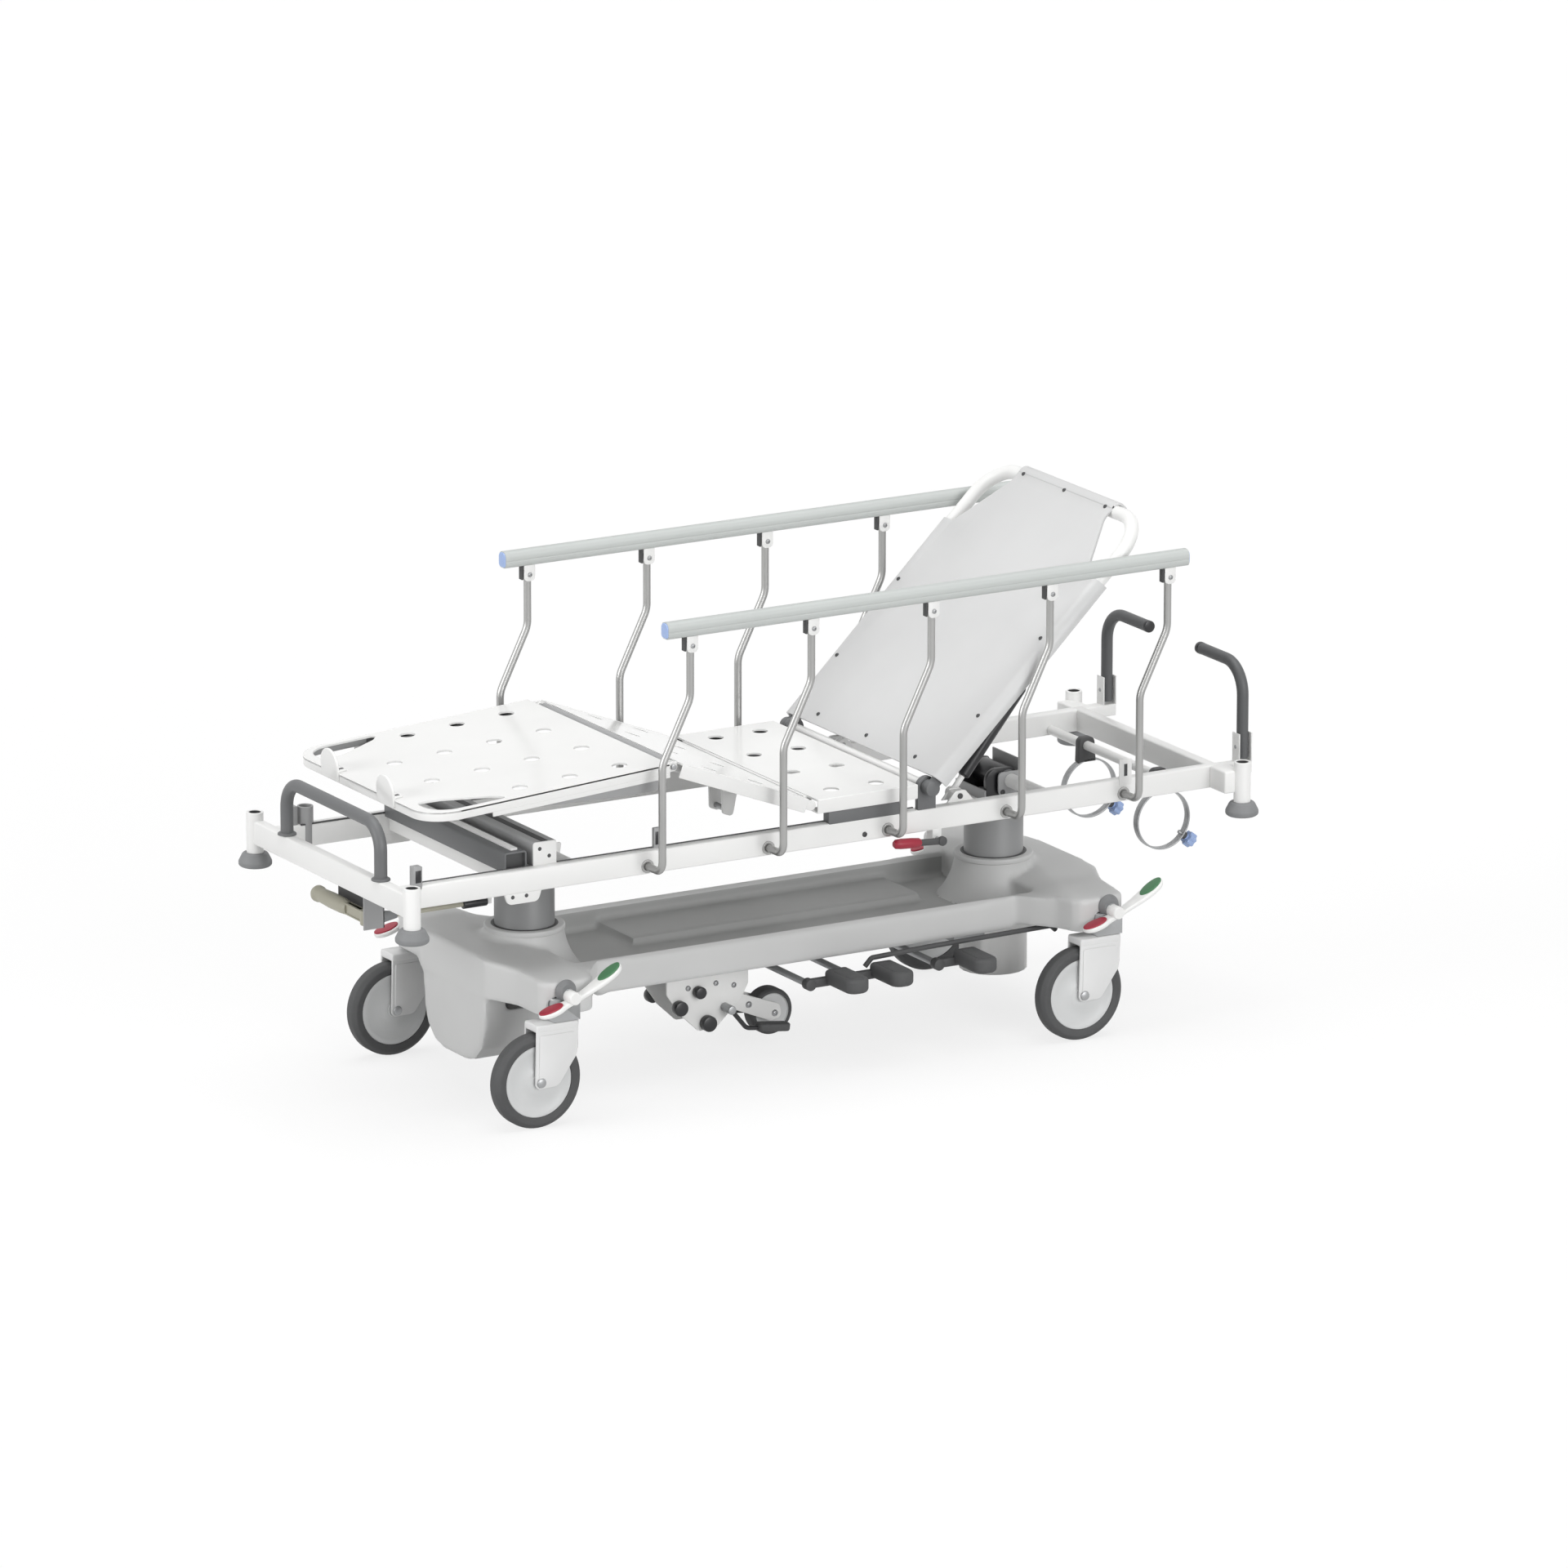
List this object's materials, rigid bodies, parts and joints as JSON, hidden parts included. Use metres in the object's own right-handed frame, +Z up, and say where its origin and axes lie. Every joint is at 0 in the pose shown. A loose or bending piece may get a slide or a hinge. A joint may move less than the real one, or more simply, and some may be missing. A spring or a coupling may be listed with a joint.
{
  "type": "patient transfer trolley",
  "caption": "Hospital patient trolley: castored base with storage tray, lift columns, tilting frame, sectioned platform with raised backrest and folding side rails.",
  "frame": {"origin": "on the floor under the middle of the trolley", "axes": "+X towards the head end with the backrest, +Y to the patient's right when lying face up, +Z up"},
  "size_m": [2.0741, 0.75, 1.1096],
  "materials": {
    "white_paint": "gloss powder coat",
    "chassis_steel": "satin",
    "cover_plastic": "satin moulded",
    "hub_plastic": "satin moulded",
    "tyre_rubber": "matt",
    "bumper_rubber": "matt",
    "dark_plastic": "fine grain",
    "column_steel": "satin",
    "steel": "brushed",
    "stainless": "polished",
    "chrome": "polished",
    "rail_aluminium": "anodised",
    "panel_laminate": "satin laminate",
    "black_paint": "gloss",
    "crank_plastic": "satin",
    "red_plastic": "satin",
    "blue_plastic": "gloss"
  },
  "bodies": {
    "base": {"base_chassis": "chassis_steel", "base_cover": "cover_plastic"},
    "near_foot_castor": {"near_foot_castor_fork": "white_paint"},
    "near_foot_wheel": {"near_foot_castor_hub": "hub_plastic", "near_foot_castor_tyre": "tyre_rubber"},
    "near_head_castor": {"near_head_castor_fork": "white_paint"},
    "near_head_wheel": {"near_head_castor_hub": "hub_plastic", "near_head_castor_tyre": "tyre_rubber"},
    "far_foot_castor": {"far_foot_castor_fork": "white_paint"},
    "far_foot_wheel": {"far_foot_castor_hub": "hub_plastic", "far_foot_castor_tyre": "tyre_rubber"},
    "far_head_castor": {"far_head_castor_fork": "white_paint"},
    "far_head_wheel": {"far_head_castor_hub": "hub_plastic", "far_head_castor_tyre": "tyre_rubber"},
    "foot_brake": {"foot_brake_bar": "white_paint"},
    "head_brake": {"head_brake_bar": "white_paint"},
    "fifth_wheel_arm": {"fifth_wheel_arm": "white_paint"},
    "fifth_wheel": {"fifth_wheel": "tyre_rubber"},
    "lift_pump": {"lift_pump_pedal": "dark_plastic"},
    "head_down_pump": {"head_down_pump_pedal": "dark_plastic"},
    "lower_pump": {"lower_pump_pedal": "dark_plastic"},
    "foot_column": {"foot_lift_column": "column_steel"},
    "head_column": {"head_lift_column": "column_steel"},
    "tilt_ram": {"head_tilt_ram": "steel"},
    "frame": {"upper_frame": "white_paint", "seat_plate": "white_paint", "foot_handle": "dark_plastic", "near_bottle_ring": "steel", "far_bottle_ring": "steel", "near_foot_bumper": "bumper_rubber", "near_head_bumper": "bumper_rubber", "far_foot_bumper": "bumper_rubber", "far_head_bumper": "bumper_rubber"},
    "thigh": {"thigh_plate": "white_paint", "knee_rod": "steel"},
    "calf": {"calf_plate": "white_paint"},
    "backrest": {"backrest_frame": "white_paint", "backrest_panel": "panel_laminate"},
    "near_spring_barrel": {"near_gas_spring_barrel": "black_paint"},
    "near_spring_rod": {"near_gas_spring_rod": "chrome"},
    "far_spring_barrel": {"far_gas_spring_barrel": "black_paint"},
    "far_spring_rod": {"far_gas_spring_rod": "chrome"},
    "near_post_3": {"near_rail_post_3": "stainless"},
    "near_post_1": {"near_rail_post_1": "stainless"},
    "near_post_2": {"near_rail_post_2": "stainless"},
    "near_post_4": {"near_rail_post_4": "stainless"},
    "near_post_5": {"near_rail_post_5": "stainless"},
    "near_handrail": {"near_handrail": "rail_aluminium"},
    "far_post_3": {"far_rail_post_3": "stainless"},
    "far_post_1": {"far_rail_post_1": "stainless"},
    "far_post_2": {"far_rail_post_2": "stainless"},
    "far_post_4": {"far_rail_post_4": "stainless"},
    "far_post_5": {"far_rail_post_5": "stainless"},
    "far_handrail": {"far_handrail": "rail_aluminium"},
    "near_push_handle": {"near_push_handle": "dark_plastic"},
    "far_push_handle": {"far_push_handle": "dark_plastic"},
    "crank": {"crank": "crank_plastic"},
    "release_lever": {"release_lever": "red_plastic"},
    "near_knob": {"near_clamp_knob": "blue_plastic"},
    "far_knob": {"far_clamp_knob": "blue_plastic"}
  },
  "joints": [
    {"name": "near_foot_castor_swivel", "type": "hinge", "parent": "base", "child": "near_foot_castor", "pos_m": [-0.63, -0.3093, 0.2], "axis": [0, 0, 1], "continuous": true},
    {"name": "near_foot_wheel_spin", "type": "hinge", "parent": "near_foot_castor", "child": "near_foot_wheel", "pos_m": [-0.6925, -0.3093, 0.1], "axis": [0, 1, 0], "continuous": true},
    {"name": "near_head_castor_swivel", "type": "hinge", "parent": "base", "child": "near_head_castor", "pos_m": [0.67, -0.3093, 0.2], "axis": [0, 0, 1], "continuous": true},
    {"name": "near_head_wheel_spin", "type": "hinge", "parent": "near_head_castor", "child": "near_head_wheel", "pos_m": [0.6075, -0.3093, 0.1], "axis": [0, 1, 0], "continuous": true},
    {"name": "far_foot_castor_swivel", "type": "hinge", "parent": "base", "child": "far_foot_castor", "pos_m": [-0.63, 0.3093, 0.2], "axis": [0, 0, 1], "continuous": true},
    {"name": "far_foot_wheel_spin", "type": "hinge", "parent": "far_foot_castor", "child": "far_foot_wheel", "pos_m": [-0.6925, 0.3093, 0.1], "axis": [0, 1, 0], "continuous": true},
    {"name": "far_head_castor_swivel", "type": "hinge", "parent": "base", "child": "far_head_castor", "pos_m": [0.67, 0.3093, 0.2], "axis": [0, 0, 1], "continuous": true},
    {"name": "far_head_wheel_spin", "type": "hinge", "parent": "far_head_castor", "child": "far_head_wheel", "pos_m": [0.6075, 0.3093, 0.1], "axis": [0, 1, 0], "continuous": true},
    {"name": "foot_brake", "type": "hinge", "parent": "base", "child": "foot_brake", "pos_m": [-0.63, 0, 0.285], "axis": [0, 1, 0], "range_deg": [0, 44]},
    {"name": "head_brake", "type": "hinge", "parent": "base", "child": "head_brake", "pos_m": [0.67, 0, 0.285], "axis": [0, 1, 0], "range_deg": [0, 44]},
    {"name": "fifth_wheel_drop", "type": "hinge", "parent": "base", "child": "fifth_wheel_arm", "pos_m": [-0.09, 0, 0.122], "axis": [0, 1, 0], "range_deg": [0, 8.2]},
    {"name": "fifth_wheel_spin", "type": "hinge", "parent": "fifth_wheel_arm", "child": "fifth_wheel", "pos_m": [0.036, 0, 0.068], "axis": [0, 1, 0], "continuous": true},
    {"name": "lift_pump_press", "type": "hinge", "parent": "base", "child": "lift_pump", "pos_m": [0.01, 0, 0.18], "axis": [0, 1, 0], "range_deg": [0, 14], "stiffness_Nm_per_rad": 6, "springref_deg": -28.65},
    {"name": "head_down_pump_press", "type": "hinge", "parent": "base", "child": "head_down_pump", "pos_m": [0.118, 0, 0.18], "axis": [0, 1, 0], "range_deg": [0, 14], "stiffness_Nm_per_rad": 6, "springref_deg": -28.65},
    {"name": "lower_pump_press", "type": "hinge", "parent": "base", "child": "lower_pump", "pos_m": [0.32, 0, 0.18], "axis": [0, 1, 0], "range_deg": [0, 14], "stiffness_Nm_per_rad": 6, "springref_deg": -28.65},
    {"name": "foot_lift", "type": "slide", "parent": "base", "child": "foot_column", "axis": [0, 0, 1], "range_m": [0, 0.2]},
    {"name": "head_lift", "type": "slide", "parent": "base", "child": "head_column", "axis": [0, 0, 1], "range_m": [0, 0.2]},
    {"name": "tilt", "type": "hinge", "parent": "foot_column", "child": "frame", "pos_m": [-0.545, 0, 0.507], "axis": [0, -1, 0], "range_deg": [0, 12]},
    {"name": "tilt_ram_slide", "type": "slide", "parent": "head_column", "child": "tilt_ram", "axis": [0, 0, 1], "range_m": [0, 0.236]},
    {"name": "thigh_raise", "type": "hinge", "parent": "frame", "child": "thigh", "pos_m": [-0.03, 0, 0.588], "axis": [0, 1, 0], "range_deg": [-21.1, 0]},
    {"name": "knee", "type": "hinge", "parent": "thigh", "child": "calf", "pos_m": [-0.35373, 0, 0.71292], "axis": [0, 1, 0], "range_deg": [0, 24.81]},
    {"name": "backrest_raise", "type": "hinge", "parent": "frame", "child": "backrest", "pos_m": [0.256, 0, 0.587], "axis": [0, -1, 0], "range_deg": [-44.3, 15.7]},
    {"name": "near_spring_barrel_swing", "type": "hinge", "parent": "frame", "child": "near_spring_barrel", "pos_m": [0.347, -0.225, 0.55], "axis": [0, -1, 0], "range_deg": [-49.2, 17.5]},
    {"name": "near_spring_rod_slide", "type": "slide", "parent": "near_spring_barrel", "child": "near_spring_rod", "axis": [0.6309, 0, 0.7759], "range_m": [-0.06, 0.0215]},
    {"name": "far_spring_barrel_swing", "type": "hinge", "parent": "frame", "child": "far_spring_barrel", "pos_m": [0.347, 0.225, 0.55], "axis": [0, -1, 0], "range_deg": [-49.2, 17.5]},
    {"name": "far_spring_rod_slide", "type": "slide", "parent": "far_spring_barrel", "child": "far_spring_rod", "axis": [0.6309, 0, 0.7759], "range_m": [-0.06, 0.0215]},
    {"name": "near_post_3_fold", "type": "hinge", "parent": "frame", "child": "near_post_3", "pos_m": [0.161, -0.3425, 0.508], "axis": [0, -1, 0], "range_deg": [0, 91]},
    {"name": "near_post_1_fold", "type": "hinge", "parent": "frame", "child": "near_post_1", "pos_m": [-0.411, -0.3425, 0.508], "axis": [0, -1, 0], "range_deg": [0, 91]},
    {"name": "near_post_2_fold", "type": "hinge", "parent": "frame", "child": "near_post_2", "pos_m": [-0.125, -0.3425, 0.508], "axis": [0, -1, 0], "range_deg": [0, 91]},
    {"name": "near_post_4_fold", "type": "hinge", "parent": "frame", "child": "near_post_4", "pos_m": [0.447, -0.3425, 0.508], "axis": [0, -1, 0], "range_deg": [0, 91]},
    {"name": "near_post_5_fold", "type": "hinge", "parent": "frame", "child": "near_post_5", "pos_m": [0.733, -0.3425, 0.508], "axis": [0, -1, 0], "range_deg": [0, 91]},
    {"name": "near_handrail_level", "type": "hinge", "parent": "near_post_3", "child": "near_handrail", "pos_m": [0.227, -0.3425, 0.982], "axis": [0, -1, 0], "range_deg": [-91, 0]},
    {"name": "far_post_3_fold", "type": "hinge", "parent": "frame", "child": "far_post_3", "pos_m": [0.161, 0.3425, 0.508], "axis": [0, -1, 0], "range_deg": [0, 91]},
    {"name": "far_post_1_fold", "type": "hinge", "parent": "frame", "child": "far_post_1", "pos_m": [-0.411, 0.3425, 0.508], "axis": [0, -1, 0], "range_deg": [0, 91]},
    {"name": "far_post_2_fold", "type": "hinge", "parent": "frame", "child": "far_post_2", "pos_m": [-0.125, 0.3425, 0.508], "axis": [0, -1, 0], "range_deg": [0, 91]},
    {"name": "far_post_4_fold", "type": "hinge", "parent": "frame", "child": "far_post_4", "pos_m": [0.447, 0.3425, 0.508], "axis": [0, -1, 0], "range_deg": [0, 91]},
    {"name": "far_post_5_fold", "type": "hinge", "parent": "frame", "child": "far_post_5", "pos_m": [0.733, 0.3425, 0.508], "axis": [0, -1, 0], "range_deg": [0, 91]},
    {"name": "far_handrail_level", "type": "hinge", "parent": "far_post_3", "child": "far_handrail", "pos_m": [0.227, 0.3425, 0.982], "axis": [0, -1, 0], "range_deg": [-91, 0]},
    {"name": "near_push_handle_fold", "type": "hinge", "parent": "frame", "child": "near_push_handle", "pos_m": [1.03, -0.273, 0.57], "axis": [-1, 0, 0], "range_deg": [0, 90]},
    {"name": "far_push_handle_fold", "type": "hinge", "parent": "frame", "child": "far_push_handle", "pos_m": [1.03, 0.273, 0.57], "axis": [1, 0, 0], "range_deg": [0, 90]},
    {"name": "crank_unfold", "type": "hinge", "parent": "frame", "child": "crank", "pos_m": [-0.962, -0.09, 0.43], "axis": [0, 0, 1], "range_deg": [0, 90]},
    {"name": "release_lever_pull", "type": "hinge", "parent": "frame", "child": "release_lever", "pos_m": [0.28, -0.3, 0.472], "axis": [0, -1, 0], "range_deg": [0, 15], "stiffness_Nm_per_rad": 2, "springref_deg": -22.92},
    {"name": "near_knob_turn", "type": "hinge", "parent": "frame", "child": "near_knob", "pos_m": [0.89, -0.18, 0.408], "axis": [0.788, 0, -0.6157], "continuous": true},
    {"name": "far_knob_turn", "type": "hinge", "parent": "frame", "child": "far_knob", "pos_m": [0.89, 0.115, 0.408], "axis": [0.788, 0, -0.6157], "continuous": true}
  ],
  "couplings": [
    {"joint": "head_brake", "follows": "foot_brake", "ratio": 1},
    {"joint": "fifth_wheel_drop", "follows": "foot_brake", "ratio": 0.18409},
    {"joint": "head_lift", "follows": "foot_lift", "ratio": 1},
    {"joint": "tilt_ram_slide", "follows": "tilt", "m_per_rad": 1.1243},
    {"joint": "knee", "follows": "thigh_raise", "ratio": -1.1754},
    {"joint": "near_spring_barrel_swing", "follows": "backrest_raise", "ratio": 1.1087},
    {"joint": "near_spring_rod_slide", "follows": "backrest_raise", "m_per_rad": 0.0771},
    {"joint": "far_spring_barrel_swing", "follows": "backrest_raise", "ratio": 1.1087},
    {"joint": "far_spring_rod_slide", "follows": "backrest_raise", "m_per_rad": 0.0771},
    {"joint": "near_post_1_fold", "follows": "near_post_3_fold", "ratio": 1},
    {"joint": "near_post_2_fold", "follows": "near_post_3_fold", "ratio": 1},
    {"joint": "near_post_4_fold", "follows": "near_post_3_fold", "ratio": 1},
    {"joint": "near_post_5_fold", "follows": "near_post_3_fold", "ratio": 1},
    {"joint": "near_handrail_level", "follows": "near_post_3_fold", "ratio": -1},
    {"joint": "far_post_1_fold", "follows": "far_post_3_fold", "ratio": 1},
    {"joint": "far_post_2_fold", "follows": "far_post_3_fold", "ratio": 1},
    {"joint": "far_post_4_fold", "follows": "far_post_3_fold", "ratio": 1},
    {"joint": "far_post_5_fold", "follows": "far_post_3_fold", "ratio": 1},
    {"joint": "far_handrail_level", "follows": "far_post_3_fold", "ratio": -1}
  ]
}
